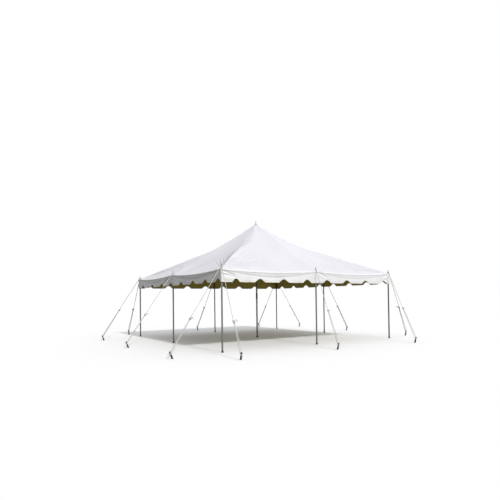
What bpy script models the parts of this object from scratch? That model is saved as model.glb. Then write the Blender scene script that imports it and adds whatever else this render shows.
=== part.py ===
"""Square pole tent: one peaked canopy over a centre pole and eight side poles, held by guy ropes and stakes.

Metres, +Z up. The origin is on the ground under the centre pole. The front of the tent faces -Y.
"""

import math

import bmesh
import bpy
from mathutils import Matrix, Vector
from mathutils.bvhtree import BVHTree

# Canopy: 20 ft square, with its poles 50 mm inside the edge.
CANOPY_HALF = 3.048
POLE_INSET = 0.05
POLE_HALF = CANOPY_HALF - POLE_INSET
EAVE_HEIGHT = 2.03
PEAK_HEIGHT = 3.80
CLOTH = 0.006  # thickness of the canopy's solids
HIP_SAG = 0.205  # how far a hip hangs under the straight line from peak to corner
RIDGE_SAG = 0.03  # the same on the line from the peak to a middle pole
BAY_SAG = 0.02  # more, half way between hip and ridge
SAG_POWER = 1.15
EAVE_DROOP = 0.06  # the eave's drop half way between two poles
CROWN_HALF = 0.10
GORE_COLUMNS = 16
GORE_ROWS = 10
CROWN_CELLS = 4

# Valance: a flap with eight arched notches a side.
VALANCE_HEM = 1.705
VALANCE_THICKNESS = 0.005
NOTCHES = 8
NOTCH_HEIGHT = 0.09
NOTCH_HALF_WIDTH = 0.12
NOTCH_STEPS = 8

# Side poles: steel tube on a foot plate, with a pin that passes through the canopy.
TUBE_RADIUS = 0.021
FOOT_RADIUS = 0.034
FOOT_PLATE = 0.006
SOCKET_RADIUS = 0.026
SOCKET_HEIGHT = 0.05
PIN_RADIUS = 0.008
PIN_ABOVE = 0.10
PIN_HOLE = 0.012

# Centre pole: two lengths of tube in a coupling sleeve.
CENTRE_RADIUS = 0.025
CENTRE_FOOT = 0.055
CENTRE_SOCKET = 0.032
JOINT_HEIGHT = 1.38
COUPLER_LENGTH = 0.19
COUPLER_RADIUS = 0.031
CENTRE_PIN_RADIUS = 0.010
CENTRE_PIN_ABOVE = 0.11
CROWN_HOLE = 0.014

# Guy ropes and stakes.
ROPE_RADIUS = 0.006
ROPE_SIDES = 2  # bevel resolution
ROPE_LIFT = 0.0012  # clearance at its bend over the eave
EYE_TURN = math.radians(210)
EYE_STEPS = 7
EDGE_STEPS = 3
LOOP_STEPS = 8
SLIDER_SHARE = 0.57  # where the doubled part starts, from the top
STAKE_RADIUS = 0.0125
STAKE_LENGTH = 0.18
STAKE_NECK = 0.14
STAKE_HEAD = 0.021
STAKE_HEAD_LENGTH = 0.016
STAKE_LEAN = math.radians(24)
STAKE_BELOW = 0.03  # cut off again at the ground

GAP = 0.0003  # between pieces that touch
ROUND_STEPS = 16

CORNERS = {
    "front_left": (-1, -1),
    "front_right": (1, -1),
    "back_right": (1, 1),
    "back_left": (-1, 1),
}
MIDDLES = {
    "front_middle": (0, -1),
    "right_middle": (1, 0),
    "back_middle": (0, 1),
    "left_middle": (-1, 0),
}
# Where each rope is staked out on the ground: the pole that it holds, then the stake's place.
STAKES = {
    "front_left_a": ("front_left", (-4.42, -3.32)),
    "front_left_b": ("front_left", (-3.32, -4.37)),
    "front_middle": ("front_middle", (-0.42, -4.25)),
    "front_right_a": ("front_right", (2.40, -4.39)),
    "front_right_b": ("front_right", (4.16, -2.70)),
    "right_middle": ("right_middle", (4.41, 0.28)),
    "back_right_a": ("back_right", (4.55, 3.40)),
    "back_right_b": ("back_right", (3.10, 4.50)),
    "back_middle": ("back_middle", (-0.08, 4.36)),
    "back_left_a": ("back_left", (-3.08, 4.05)),
    "back_left_b": ("back_left", (-4.46, 2.27)),
    "left_middle": ("left_middle", (-4.50, -0.45)),
}
SIDES = ("front", "right", "back", "left")  # quarter turns from -Y

VINYL = ("white_vinyl", (0.86, 0.85, 0.88), 0.45, 0.0)
STEEL = ("galvanised_steel", (0.50, 0.51, 0.49), 0.45, 0.9)
BLACK = ("black_coating", (0.02, 0.02, 0.02), 0.5, 0.0)
ROPE = ("white_rope", (0.82, 0.81, 0.77), 0.8, 0.0)
STAKE_STEEL = ("stake_steel", (0.16, 0.16, 0.16), 0.55, 0.8)


def clear_scene():
    for obj in list(bpy.data.objects):
        bpy.data.objects.remove(obj, do_unlink=True)


def new_collection(name):
    collection = bpy.data.collections.new(name)
    bpy.context.scene.collection.children.link(collection)
    return collection


def material(name, colour, roughness, metallic):
    found = bpy.data.materials.get(name)
    if found:
        return found
    made = bpy.data.materials.new(name)
    made.use_nodes = True
    shader = made.node_tree.nodes["Principled BSDF"]
    shader.inputs["Base Color"].default_value = (*colour, 1.0)
    shader.inputs["Roughness"].default_value = roughness
    shader.inputs["Metallic"].default_value = metallic
    return made


def add_object(name, data, finish):
    obj = bpy.data.objects.new(name, data)
    PARTS.objects.link(obj)
    data.materials.append(material(*finish))
    return obj


def mesh_from(bm, name):
    bmesh.ops.recalc_face_normals(bm, faces=bm.faces)
    mesh = bpy.data.meshes.new(name)
    bm.to_mesh(mesh)
    bm.free()
    return mesh


def turned(name, profile, finish, closed=False):
    """A turned piece. The profile runs down its outer side as (radius, height) pairs."""
    mesh = bpy.data.meshes.new(name)
    count = len(profile)
    edges = [(i, (i + 1) % count) for i in range(count if closed else count - 1)]
    mesh.from_pydata([(radius, 0.0, height) for radius, height in profile], edges, [])
    obj = add_object(name, mesh, finish)
    screw = obj.modifiers.new("Screw", "SCREW")
    screw.steps = screw.render_steps = ROUND_STEPS
    screw.use_merge_vertices = True
    screw.merge_threshold = 0.00001
    screw.use_smooth_shade = True
    return obj


def cut(obj, cutter):
    boolean = obj.modifiers.new("Cut", "BOOLEAN")
    boolean.operation = "DIFFERENCE"
    boolean.object = cutter


def as_cutter(name, mesh, location):
    obj = bpy.data.objects.new(name, mesh)
    CUTTERS.objects.link(obj)
    obj.location = location
    obj.hide_render = True
    obj.display_type = "WIRE"
    return obj


def roof_height(x, y):
    """Height of the canopy's top face over a point of the plan."""
    far = max(abs(x), abs(y), 1e-6)
    out = far / CANOPY_HALF  # 0 at the peak, 1 at the eave
    bay = min(abs(x), abs(y)) / far  # 0 over a middle pole, 1 on a hip
    swing = 4 * bay * (1 - bay)
    eave = EAVE_HEIGHT - EAVE_DROOP * swing
    sag = RIDGE_SAG + (HIP_SAG - RIDGE_SAG) * bay + BAY_SAG * swing
    hang = max(4 * out * (1 - out), 0.0) ** SAG_POWER
    return PEAK_HEIGHT + (eave - PEAK_HEIGHT) * out - sag * hang


def gore_column(along, reach):
    """The place across a gore, -1 to 1, as a distance, just short of the hips."""
    return along * (reach - GAP)


def gore_sheet(turn):
    """The top face of one quarter of the roof, from the crown to its eave."""
    bm = bmesh.new()
    bmesh.ops.create_grid(bm, x_segments=GORE_COLUMNS, y_segments=GORE_ROWS, size=0.5)
    start = CROWN_HALF + GAP
    for vert in bm.verts:
        reach = start + (CANOPY_HALF - start) * (0.5 - vert.co.y)
        x = gore_column(2 * vert.co.x, reach)
        vert.co = (x, -reach, roof_height(x, reach))
    bmesh.ops.triangulate(bm, faces=bm.faces)
    bmesh.ops.rotate(bm, verts=bm.verts, matrix=Matrix.Rotation(turn, 3, "Z"))
    return bm


def crown_sheet():
    """The top face of the reinforced square at the peak."""
    bm = bmesh.new()
    bmesh.ops.create_grid(bm, x_segments=CROWN_CELLS, y_segments=CROWN_CELLS, size=CROWN_HALF)
    for vert in bm.verts:
        vert.co.z = roof_height(vert.co.x, vert.co.y)
    # The long diagonal of each cell is the one that runs along a hip.
    bmesh.ops.triangulate(bm, faces=bm.faces, quad_method="LONG_EDGE")
    return bm


def canopy_tree():
    """The facets of the canopy's top face, for finding its height over a point."""
    points = []
    faces = []
    for sheet in (crown_sheet(), *(gore_sheet(index * math.pi / 2) for index in range(4))):
        first = len(points)
        points += [vert.co.copy() for vert in sheet.verts]
        faces += [[first + vert.index for vert in face.verts] for face in sheet.faces]
        sheet.free()
    return BVHTree.FromPolygons(points, faces)


def facet_height(x, y):
    """Height of the canopy's facets over a point, or of its formula in the slit along a hip."""
    hit = CANOPY.ray_cast(Vector((x, y, 2 * PEAK_HEIGHT)), Vector((0, 0, -1)))[0]
    return hit.z if hit else roof_height(x, y)


def facet_heights_round(x, y, radius):
    """Heights of the canopy's facets on a circle about a point, half way to it, and at the point."""
    turns = [math.tau * step / ROUND_STEPS for step in range(ROUND_STEPS)]
    rings = [(radius * share, turn) for share in (0.5, 1) for turn in turns]
    ring = [facet_height(x + r * math.cos(t), y + r * math.sin(t)) for r, t in rings]
    return [*ring, facet_height(x, y)]


def pole_place(name):
    side_x, side_y = {**CORNERS, **MIDDLES}[name]
    return side_x * POLE_HALF, side_y * POLE_HALF


def thickened(bm):
    """Closes an open sheet into a solid that hangs straight down from it."""
    grown = bmesh.ops.extrude_face_region(bm, geom=bm.faces[:])
    low = [item for item in grown["geom"] if isinstance(item, bmesh.types.BMVert)]
    bmesh.ops.translate(bm, verts=low, vec=(0, 0, -CLOTH))


def make_gore(side, turn, cutters):
    bm = gore_sheet(turn)
    thickened(bm)
    obj = add_object(f"{side}_roof", mesh_from(bm, f"{side}_roof"), VINYL)
    for cutter in cutters:
        cut(obj, cutter)


def make_crown(cutter):
    bm = crown_sheet()
    thickened(bm)
    obj = add_object("roof_crown", mesh_from(bm, "roof_crown"), VINYL)
    cut(obj, cutter)


def hem_outline(limit):
    """The valance's lower edge from left to right, as (x, z) pairs."""
    half = CANOPY_HALF
    pitch = 2 * half / NOTCHES
    points = [(-limit, VALANCE_HEM)]
    for notch in range(NOTCHES):
        middle = -half + (notch + 0.5) * pitch
        for step in range(NOTCH_STEPS + 1):
            swing = 2 * step / NOTCH_STEPS - 1
            rise = NOTCH_HEIGHT * (0.5 + 0.5 * math.cos(math.pi * swing))
            points.append((middle + swing * NOTCH_HALF_WIDTH, VALANCE_HEM + rise))
    points.append((limit, VALANCE_HEM))
    return points


def eave_outline(limit):
    """The line just under the roof's facets at the eave, from left to right, as (x, z) pairs."""
    corner, inner = (gore_column(1 - 2 * column / GORE_COLUMNS, CANOPY_HALF) for column in (0, 1))
    share = (limit - inner) / (corner - inner)
    end = share * roof_height(corner, CANOPY_HALF) + (1 - share) * roof_height(inner, CANOPY_HALF)
    points = [(-limit, end)]
    for column in range(1, GORE_COLUMNS):
        x = gore_column(2 * column / GORE_COLUMNS - 1, CANOPY_HALF)
        points.append((x, roof_height(x, CANOPY_HALF)))
    points.append((limit, end))
    return [(x, z - CLOTH - GAP) for x, z in points]


def make_valance(side, turn, end_cut):
    """The scalloped flap under one eave. The left and right ones are shorter by the others' thickness."""
    limit = CANOPY_HALF - GAP - end_cut
    outline = [*hem_outline(limit), *reversed(eave_outline(limit))]
    curve = bpy.data.curves.new(f"{side}_valance", "CURVE")
    curve.dimensions = "2D"
    curve.fill_mode = "BOTH"
    curve.extrude = VALANCE_THICKNESS / 2
    spline = curve.splines.new("POLY")
    spline.points.add(len(outline) - 1)
    spline.use_cyclic_u = True
    for point, (x, z) in zip(spline.points, outline):
        point.co = (x, z, 0, 1)
    obj = add_object(f"{side}_valance", curve, VINYL)
    obj.rotation_euler = (math.pi / 2, 0, turn)
    obj.location = Matrix.Rotation(turn, 3, "Z") @ Vector((0, VALANCE_THICKNESS / 2 - CANOPY_HALF, 0))


def make_side_pole(name):
    x, y = pole_place(name)
    top = min(facet_heights_round(x, y, TUBE_RADIUS)) - CLOTH - GAP
    tip = roof_height(x, y) + PIN_ABOVE
    bevel = PIN_RADIUS / 2
    obj = turned(f"{name}_pole", [
        (0, tip),
        (PIN_RADIUS - bevel, tip),
        (PIN_RADIUS, tip - bevel),
        (PIN_RADIUS, top),
        (TUBE_RADIUS - bevel, top),
        (TUBE_RADIUS, top - bevel),
        (TUBE_RADIUS, SOCKET_HEIGHT),
        (SOCKET_RADIUS, SOCKET_HEIGHT),
        (SOCKET_RADIUS, FOOT_PLATE),
        (FOOT_RADIUS, FOOT_PLATE),
        (FOOT_RADIUS, 0),
        (0, 0),
    ], STEEL)
    obj.location = (x, y, 0)


def make_centre_pole():
    # The top is a cone that bears on the crown's underside.
    shoulder, top = (
        min(facet_heights_round(0, 0, radius)) - CLOTH - GAP for radius in (CROWN_HOLE, CENTRE_RADIUS)
    )
    tip = PEAK_HEIGHT + CENTRE_PIN_ABOVE
    bevel = CENTRE_PIN_RADIUS / 2
    half_gap = GAP / 2
    turned("centre_pole_upper", [
        (0, tip),
        (CENTRE_PIN_RADIUS - bevel, tip),
        (CENTRE_PIN_RADIUS, tip - bevel),
        (CENTRE_PIN_RADIUS, shoulder),
        (CROWN_HOLE, shoulder),
        (CENTRE_RADIUS, top),
        (CENTRE_RADIUS, JOINT_HEIGHT + half_gap),
        (0, JOINT_HEIGHT + half_gap),
    ], STEEL)
    turned("centre_pole_lower", [
        (0, JOINT_HEIGHT - half_gap),
        (CENTRE_RADIUS, JOINT_HEIGHT - half_gap),
        (CENTRE_RADIUS, SOCKET_HEIGHT),
        (CENTRE_SOCKET, SOCKET_HEIGHT),
        (CENTRE_SOCKET, FOOT_PLATE),
        (CENTRE_FOOT, FOOT_PLATE),
        (CENTRE_FOOT, 0),
        (0, 0),
    ], STEEL)
    low = JOINT_HEIGHT - COUPLER_LENGTH / 2
    high = JOINT_HEIGHT + COUPLER_LENGTH / 2
    bore = CENTRE_RADIUS + GAP
    turned("centre_pole_coupler", [
        (bore, high),
        (COUPLER_RADIUS - bevel, high),
        (COUPLER_RADIUS, high - bevel),
        (COUPLER_RADIUS, low + bevel),
        (COUPLER_RADIUS - bevel, low),
        (bore, low),
    ], BLACK, closed=True)


def stake_frame(pole, place):
    """(foot, axis) of a stake that leans away from its pole."""
    foot = Vector((*place, 0))
    away = (foot - Vector((*pole_place(pole), 0))).normalized()
    axis = away * math.sin(STAKE_LEAN) + Vector((0, 0, math.cos(STAKE_LEAN)))
    return foot, axis


def make_stake(name, pole, place, ground):
    foot, axis = stake_frame(pole, place)
    bevel = STAKE_HEAD_LENGTH / 4
    collar = STAKE_LENGTH - STAKE_HEAD_LENGTH
    obj = turned(f"stake_{name}", [
        (0, STAKE_LENGTH),
        (STAKE_HEAD - bevel, STAKE_LENGTH),
        (STAKE_HEAD, STAKE_LENGTH - bevel),
        (STAKE_HEAD, collar + bevel),
        (STAKE_RADIUS, collar),
        (STAKE_RADIUS, -STAKE_BELOW),
        (0, -STAKE_BELOW),
    ], STAKE_STEEL)
    obj.location = foot
    obj.rotation_mode = "QUATERNION"
    obj.rotation_quaternion = Vector((0, 0, 1)).rotation_difference(axis)
    cut(obj, ground)


def rope_eye(pin, away, height):
    """Points of the rope's eye round a pin, ending on the side where it runs off along away."""
    reach = PIN_RADIUS + ROPE_RADIUS + GAP
    side = Vector((-away.y, away.x, 0))
    points = []
    for step in range(EYE_STEPS + 1):
        turn = math.pi / 2 + EYE_TURN * (1 - step / EYE_STEPS)
        flat = away * math.cos(turn) + side * math.sin(turn)
        points.append(pin + flat * reach + Vector((0, 0, height)))
    # It runs level until it is past the other rope's eye.
    points.append(points[-1] + away * (reach + ROPE_RADIUS))
    return points


def rope_over_edge(pin, away, drop):
    """Points of the rope's bend over the eave, which turns it from level to the slope drop."""
    reach = min(
        (CANOPY_HALF - abs(at)) / abs(step)
        for at, step in zip(pin.xy, away.xy)
        if at * step > 0 and abs(at) > POLE_INSET
    )
    edge = pin + away * (reach - GAP)
    edge.z = facet_height(edge.x, edge.y)
    radius = ROPE_RADIUS + ROPE_LIFT
    points = []
    for step in range(EDGE_STEPS + 1):
        lean = drop * step / EDGE_STEPS
        points.append(edge + away * (radius * math.sin(lean)) + Vector((0, 0, radius * math.cos(lean))))
    return points


def rope_route(pole, place, layer):
    """The rope from its eye on the pin, over the eave, round the stake and back up to the slider."""
    x, y = pole_place(pole)
    pin = Vector((x, y, 0))
    foot, axis = stake_frame(pole, place)
    away = (foot - pin).normalized()
    neck = foot + axis * STAKE_NECK
    clear = PIN_RADIUS + 2 * ROPE_RADIUS + GAP
    height = max(facet_heights_round(x, y, clear)) + ROPE_RADIUS + GAP
    height += layer * (2 * ROPE_RADIUS + 2 * GAP)
    run = (neck - pin).xy.length - POLE_INSET
    drop = math.atan2(EAVE_HEIGHT - neck.z, run)
    over = rope_over_edge(pin, away, drop)
    up = (over[-1] - neck).normalized()
    side = up.cross(Vector((0, 0, 1))).normalized()
    round_stake = STAKE_RADIUS + ROPE_RADIUS + GAP
    long_axis = round_stake / math.sqrt(1 - up.dot(axis) ** 2)
    loop = []
    for step in range(LOOP_STEPS + 1):
        turn = math.pi * (step / LOOP_STEPS - 0.5)
        loop.append(neck - up * (long_axis * math.cos(turn)) + side * (round_stake * math.sin(turn)))
    slider = over[-1].lerp(loop[0], SLIDER_SHARE)
    back = slider + side * (2 * ROPE_RADIUS + 2 * GAP)
    return [*rope_eye(pin, away, height), *over, slider, *loop, back]


def make_rope(name, pole, place, layer):
    points = rope_route(pole, place, layer)
    curve = bpy.data.curves.new(f"rope_{name}", "CURVE")
    curve.dimensions = "3D"
    curve.bevel_depth = ROPE_RADIUS
    curve.bevel_resolution = ROPE_SIDES
    curve.use_fill_caps = True
    spline = curve.splines.new("POLY")
    spline.points.add(len(points) - 1)
    for point, place_on in zip(spline.points, points):
        point.co = (*place_on, 1)
    spline.use_smooth = True
    add_object(f"rope_{name}", curve, ROPE)


def hole_cutter(name, x, y, radius):
    bm = bmesh.new()
    bmesh.ops.create_cone(
        bm, cap_ends=True, segments=ROUND_STEPS, radius1=radius, radius2=radius, depth=0.2
    )
    return as_cutter(f"{name}_hole", mesh_from(bm, f"{name}_hole"), (x, y, roof_height(x, y)))


def ground_cutter():
    bm = bmesh.new()
    bmesh.ops.create_cube(bm, size=1.0)
    bmesh.ops.scale(bm, vec=(4 * CANOPY_HALF, 4 * CANOPY_HALF, 4 * STAKE_BELOW), verts=bm.verts)
    return as_cutter("ground_cut", mesh_from(bm, "ground_cut"), (0, 0, -2 * STAKE_BELOW))


def make_canopy():
    corners = list(CORNERS)
    middles = list(MIDDLES)
    holes = {name: hole_cutter(name, *pole_place(name), PIN_HOLE) for name in [*corners, *middles]}
    for index, side in enumerate(SIDES):
        turn = index * math.pi / 2
        ends = (corners[index], corners[(index + 1) % 4], middles[index])
        make_gore(side, turn, [holes[name] for name in ends])
        shorter = side in ("left", "right")
        make_valance(side, turn, VALANCE_THICKNESS + GAP if shorter else 0.0)
    make_crown(hole_cutter("crown", 0, 0, CROWN_HOLE))


def make_supports():
    for name in [*CORNERS, *MIDDLES]:
        make_side_pole(name)
    make_centre_pole()


def make_guys():
    ground = ground_cutter()
    used = set()
    for name, (pole, place) in STAKES.items():
        make_stake(name, pole, place, ground)
        make_rope(name, pole, place, 1 if pole in used else 0)
        used.add(pole)


clear_scene()
PARTS = new_collection("pole_tent")
CUTTERS = new_collection("cutters")
CANOPY = canopy_tree()
make_canopy()
make_supports()
make_guys()
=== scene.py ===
"""Looks for the square pole tent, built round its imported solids. Metres, +Z up, front towards -Y."""
import math
import random

import bpy
import numpy as np
from mathutils import Matrix, Vector, noise
from mathutils.bvhtree import BVHTree


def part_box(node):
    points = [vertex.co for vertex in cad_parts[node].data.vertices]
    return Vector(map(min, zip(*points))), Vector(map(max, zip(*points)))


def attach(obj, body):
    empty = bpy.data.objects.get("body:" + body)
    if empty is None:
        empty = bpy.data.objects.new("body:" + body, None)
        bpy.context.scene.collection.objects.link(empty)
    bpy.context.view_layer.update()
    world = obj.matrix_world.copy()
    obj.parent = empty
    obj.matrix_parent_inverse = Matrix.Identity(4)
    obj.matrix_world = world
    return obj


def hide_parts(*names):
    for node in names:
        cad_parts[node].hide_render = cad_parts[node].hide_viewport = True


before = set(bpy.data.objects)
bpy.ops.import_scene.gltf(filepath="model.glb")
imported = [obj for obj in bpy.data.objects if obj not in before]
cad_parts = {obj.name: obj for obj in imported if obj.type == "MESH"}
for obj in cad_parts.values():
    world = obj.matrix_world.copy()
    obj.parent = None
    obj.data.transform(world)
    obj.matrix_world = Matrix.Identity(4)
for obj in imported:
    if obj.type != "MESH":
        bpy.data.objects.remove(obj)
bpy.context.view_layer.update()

# The sizes that the solids are made from.
CANOPY_HALF, POLE_HALF = 3.048, 2.998
EAVE_HEIGHT, PEAK_HEIGHT = 2.03, 3.80
CLOTH = 0.006
HIP_SAG, RIDGE_SAG, BAY_SAG, SAG_POWER = 0.205, 0.03, 0.02, 1.15
EAVE_DROOP = 0.06
VALANCE_HEM = 1.705
NOTCHES, NOTCH_HEIGHT, NOTCH_HALF_WIDTH = 8, 0.09, 0.160
TUBE_RADIUS, FOOT_RADIUS, FOOT_PLATE = 0.021, 0.034, 0.006
SOCKET_RADIUS, SOCKET_HEIGHT = 0.026, 0.05
PIN_RADIUS = 0.008
CENTRE_RADIUS, CENTRE_FOOT, CENTRE_SOCKET = 0.025, 0.055, 0.032
CENTRE_PIN_RADIUS, CROWN_HOLE = 0.010, 0.014
JOINT_HEIGHT, COUPLER_LENGTH, COUPLER_RADIUS = 1.38, 0.19, 0.031
STAKE_RADIUS, STAKE_LENGTH, STAKE_NECK, STAKE_HEAD = 0.0125, 0.18, 0.14, 0.021
STAKE_LEAN = math.radians(24)
SLIDER_SHARE = 0.57
GAP = 0.0003

CORNERS = {"front_left": (-1, -1), "front_right": (1, -1), "back_right": (1, 1), "back_left": (-1, 1)}
MIDDLES = {"front_middle": (0, -1), "right_middle": (1, 0), "back_middle": (0, 1), "left_middle": (-1, 0)}
DIRECTIONS = {**CORNERS, **MIDDLES}
POLES = {name: (x * POLE_HALF, y * POLE_HALF) for name, (x, y) in DIRECTIONS.items()}
# Where the stakes stand. A pole with two has them named a and b, and b's rope lies over a's.
STAKES = {
    "front_left_a": (-4.42, -3.32), "front_left_b": (-3.32, -4.37), "front_middle": (-0.42, -4.25),
    "front_right_a": (2.40, -4.39), "front_right_b": (4.16, -2.70), "right_middle": (4.41, 0.28),
    "back_right_a": (4.55, 3.40), "back_right_b": (3.10, 4.50), "back_middle": (-0.08, 4.36),
    "back_left_a": (-3.08, 4.05), "back_left_b": (-4.46, 2.27), "left_middle": (-4.50, -0.45),
}
# Each side of the tent: the direction along it and the direction out of it.
SIDES = [((1, 0), (0, -1)), ((0, 1), (1, 0)), ((-1, 0), (0, 1)), ((0, -1), (-1, 0))]

# The scene's own sizes.
SKIN, FLAP_SKIN = 0.0025, 0.0018  # thickness of the canopy away from its reinforcements, and of the valance
COLUMNS, RINGS = 144, 83  # canopy cells along a side, and from the peak to the eave
FLAP_COLUMNS, FLAP_ROWS, FLAP_ROWS_ABOVE = 288, 30, 13  # valance cells, and how many lie above its crease
FLAP_INSET = 0.0035
# Middles of the scallops' notches along a side, where the photo shows them off their even places.
NOTCH_PLACES = {0: (-2.62, -1.90, -1.14, -0.35, 0.38, 1.15, 1.93, 2.72),
                1: (-2.70, -2.06, -1.27, -0.48, 0.27, 1.07, 1.85, 2.64),
                3: (-2.56, -1.66, -0.82, -0.10, 0.68, 1.46, 2.19, 2.88)}
LENS_TOP, LENS_DROP = 0.032, 0.104  # depth of the crease below the eave: at a pole, and more at mid-bay
LENS_LEAN = 0.021  # how far the cloth leans in at that crease
HEM_WIDTH = 0.024
STRAP_HALF, STRAP_SKIN = 0.024, 0.0018
SEAM_HALF = 0.014
ROPE_RADIUS = 0.0080
KNOT_ROPE = ROPE_RADIUS * 0.97
BESIDE = 2 * ROPE_RADIUS + 0.0006  # from one rope's middle to the next one's
TURN_STEPS = 20
PATCH_LIFT = 0.0022
JUST_INSIDE = 0.9995  # keeps a place on the eave inside the canopy's mesh
ROPE_STRANDS, ROPE_LAY, ROPE_STEP = 3, 0.042, 0.0045  # strands, length of a twist, from section to section
# How far down their ropes the photo shows these knots.
KNOTS_SEEN = {"front_left_a": 0.63, "front_left_b": 0.665, "left_middle": 0.62, "front_right_b": 0.58}


UP = Vector((0, 0, 1))


# Meshes

def add_object(name, data):
    obj = bpy.data.objects.new(name, data)
    bpy.context.scene.collection.objects.link(obj)
    return obj


def add_mesh(name, verts, faces, materials, slot, indices=None, sharp=None, uvs=None):
    """A smooth-shaded piece that rides with the tent."""
    mesh = bpy.data.meshes.new(name)
    mesh.from_pydata([tuple(v) for v in verts], [], faces)
    for material in materials:
        mesh.materials.append(material)
    if indices is not None:
        mesh.polygons.foreach_set("material_index", indices)
    if uvs is not None:
        layer = mesh.uv_layers.new(name="length")
        loops = np.zeros(len(mesh.loops), dtype=np.int32)
        mesh.loops.foreach_get("vertex_index", loops)
        layer.data.foreach_set("uv", np.asarray(uvs, float)[loops].ravel())
    mesh.shade_smooth()
    if sharp:
        mesh.set_sharp_from_angle(angle=math.radians(sharp))
    mesh.validate()
    obj = add_object(name, mesh)
    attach(obj, "root")
    return obj


def grid_faces(rows, columns, wrap=False, flip=False, start=0):
    """Triangles over a grid of points, row by row, all cut along the same diagonal."""
    faces = []
    for row in range(rows - 1):
        for column in range(columns if wrap else columns - 1):
            a = start + row * columns + column
            b = start + row * columns + (column + 1) % columns
            for face in ((a, b, b + columns), (a, b + columns, a + columns)):
                faces.append(face[::-1] if flip else face)
    return faces


def tube_faces(rows, around, flip=False):
    """Faces of a tube of points, ring by ring, with both its ends closed."""
    first = tuple(range(around))
    last = tuple(range((rows - 1) * around, rows * around))
    ends = [first, last[::-1]] if flip else [first[::-1], last]
    return grid_faces(rows, around, wrap=True, flip=flip) + ends


def cloth_shape(front, back, rows, columns):
    """Points, faces and material numbers of a belt of cloth: its front, its back and its two rims."""
    count, last = len(front), (rows - 1) * columns
    faces = grid_faces(rows, columns, wrap=True, flip=True)
    faces += grid_faces(rows, columns, wrap=True, start=count)
    half = len(faces) // 2
    indices = [0] * half + [1] * half + [0] * 2 * columns
    for column in range(columns):
        after = (column + 1) % columns
        faces.append((last + column, last + column + count, last + after + count, last + after))
        faces.append((column, after, after + count, column + count))
    return np.concatenate([front, back]), faces, indices


def turned(profile, segments=32, matrix=None):
    """Points and faces of a turned shape. The profile runs from its top to its bottom."""
    verts, faces, rings = [], [], []
    for radius, height in profile:
        points = segments if radius else 1
        rings.append(range(len(verts), len(verts) + points))
        for step in range(points):
            turn = math.tau * step / segments
            verts.append(Vector((radius * math.cos(turn), radius * math.sin(turn), height)))
    for upper, lower in zip(rings, rings[1:]):
        for step in range(segments):
            after = (step + 1) % segments
            corners = [ring[place % len(ring)] for ring, place in
                       ((upper, step), (lower, step), (lower, after), (upper, after))]
            faces.append(tuple(dict.fromkeys(corners)))  # a triangle where a ring is one point
    if matrix is not None:
        verts = [matrix @ v for v in verts]
    return verts, faces


def standing(place, axis):
    """Stands a turned shape at a place, along an axis."""
    return Matrix.Translation(place) @ UP.rotation_difference(axis).to_matrix().to_4x4()


def merge(*shapes):
    """The points and faces of several shapes as one."""
    verts, faces = [], []
    for more_verts, more_faces in shapes:
        first = len(verts)
        verts += list(more_verts)
        faces += [tuple(first + i for i in face) for face in more_faces]
    return verts, faces


def distances(path):
    """How far along a path each of its points lies."""
    return np.concatenate([[0], np.cumsum(np.linalg.norm(np.diff(path, axis=0), axis=1))])


def even_path(points):
    """The same path in even steps, with its bends softened and its ends kept."""
    path = np.array([tuple(p) for p in points], float)
    at = distances(path)
    want = np.linspace(0, at[-1], max(int(at[-1] / ROPE_STEP), 4) + 1)
    path = np.stack([np.interp(want, at, path[:, axis]) for axis in range(3)], axis=1)
    for _ in range(2):
        path[1:-1] = 0.5 * path[1:-1] + 0.25 * (path[:-2] + path[2:])
    return path


def laid_rope(points, radius):
    """A twisted rope along a path, with the hollows between its strands."""
    path = even_path(points)
    tangent = np.gradient(path, axis=0)
    tangent /= np.linalg.norm(tangent, axis=1)[:, None]
    start = np.cross(tangent[0], (0.0, 0.0, 1.0))
    if np.linalg.norm(start) < 1e-3:
        start = np.cross(tangent[0], (0.0, 1.0, 0.0))
    normal = np.zeros_like(path)
    normal[0] = start / np.linalg.norm(start)
    for i in range(1, len(path)):
        n = normal[i - 1] - tangent[i] * np.dot(normal[i - 1], tangent[i])
        normal[i] = n / np.linalg.norm(n)
    side = np.cross(tangent, normal)
    around = 4 * ROPE_STRANDS
    angles = np.arange(around) * math.tau / around
    crest = radius * (0.80 + 0.20 * np.abs(np.cos(angles * ROPE_STRANDS / 2)) ** 0.7)
    turn = angles[None, :] + (distances(path) / ROPE_LAY * math.tau)[:, None]
    ring = (normal[:, None, :] * (np.cos(turn) * crest)[:, :, None]
            + side[:, None, :] * (np.sin(turn) * crest)[:, :, None])
    return (path[:, None, :] + ring).reshape(-1, 3), tube_faces(len(path), around)


def smooth_step(low, high, value):
    share = np.clip((value - low) / (high - low), 0, 1)
    return share * share * (3 - 2 * share)


def window(rise, full, fall, gone, value):
    """Rises smoothly to 1, and falls again."""
    return smooth_step(rise, full, value) * (1 - smooth_step(fall, gone, value))


# Materials

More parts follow.
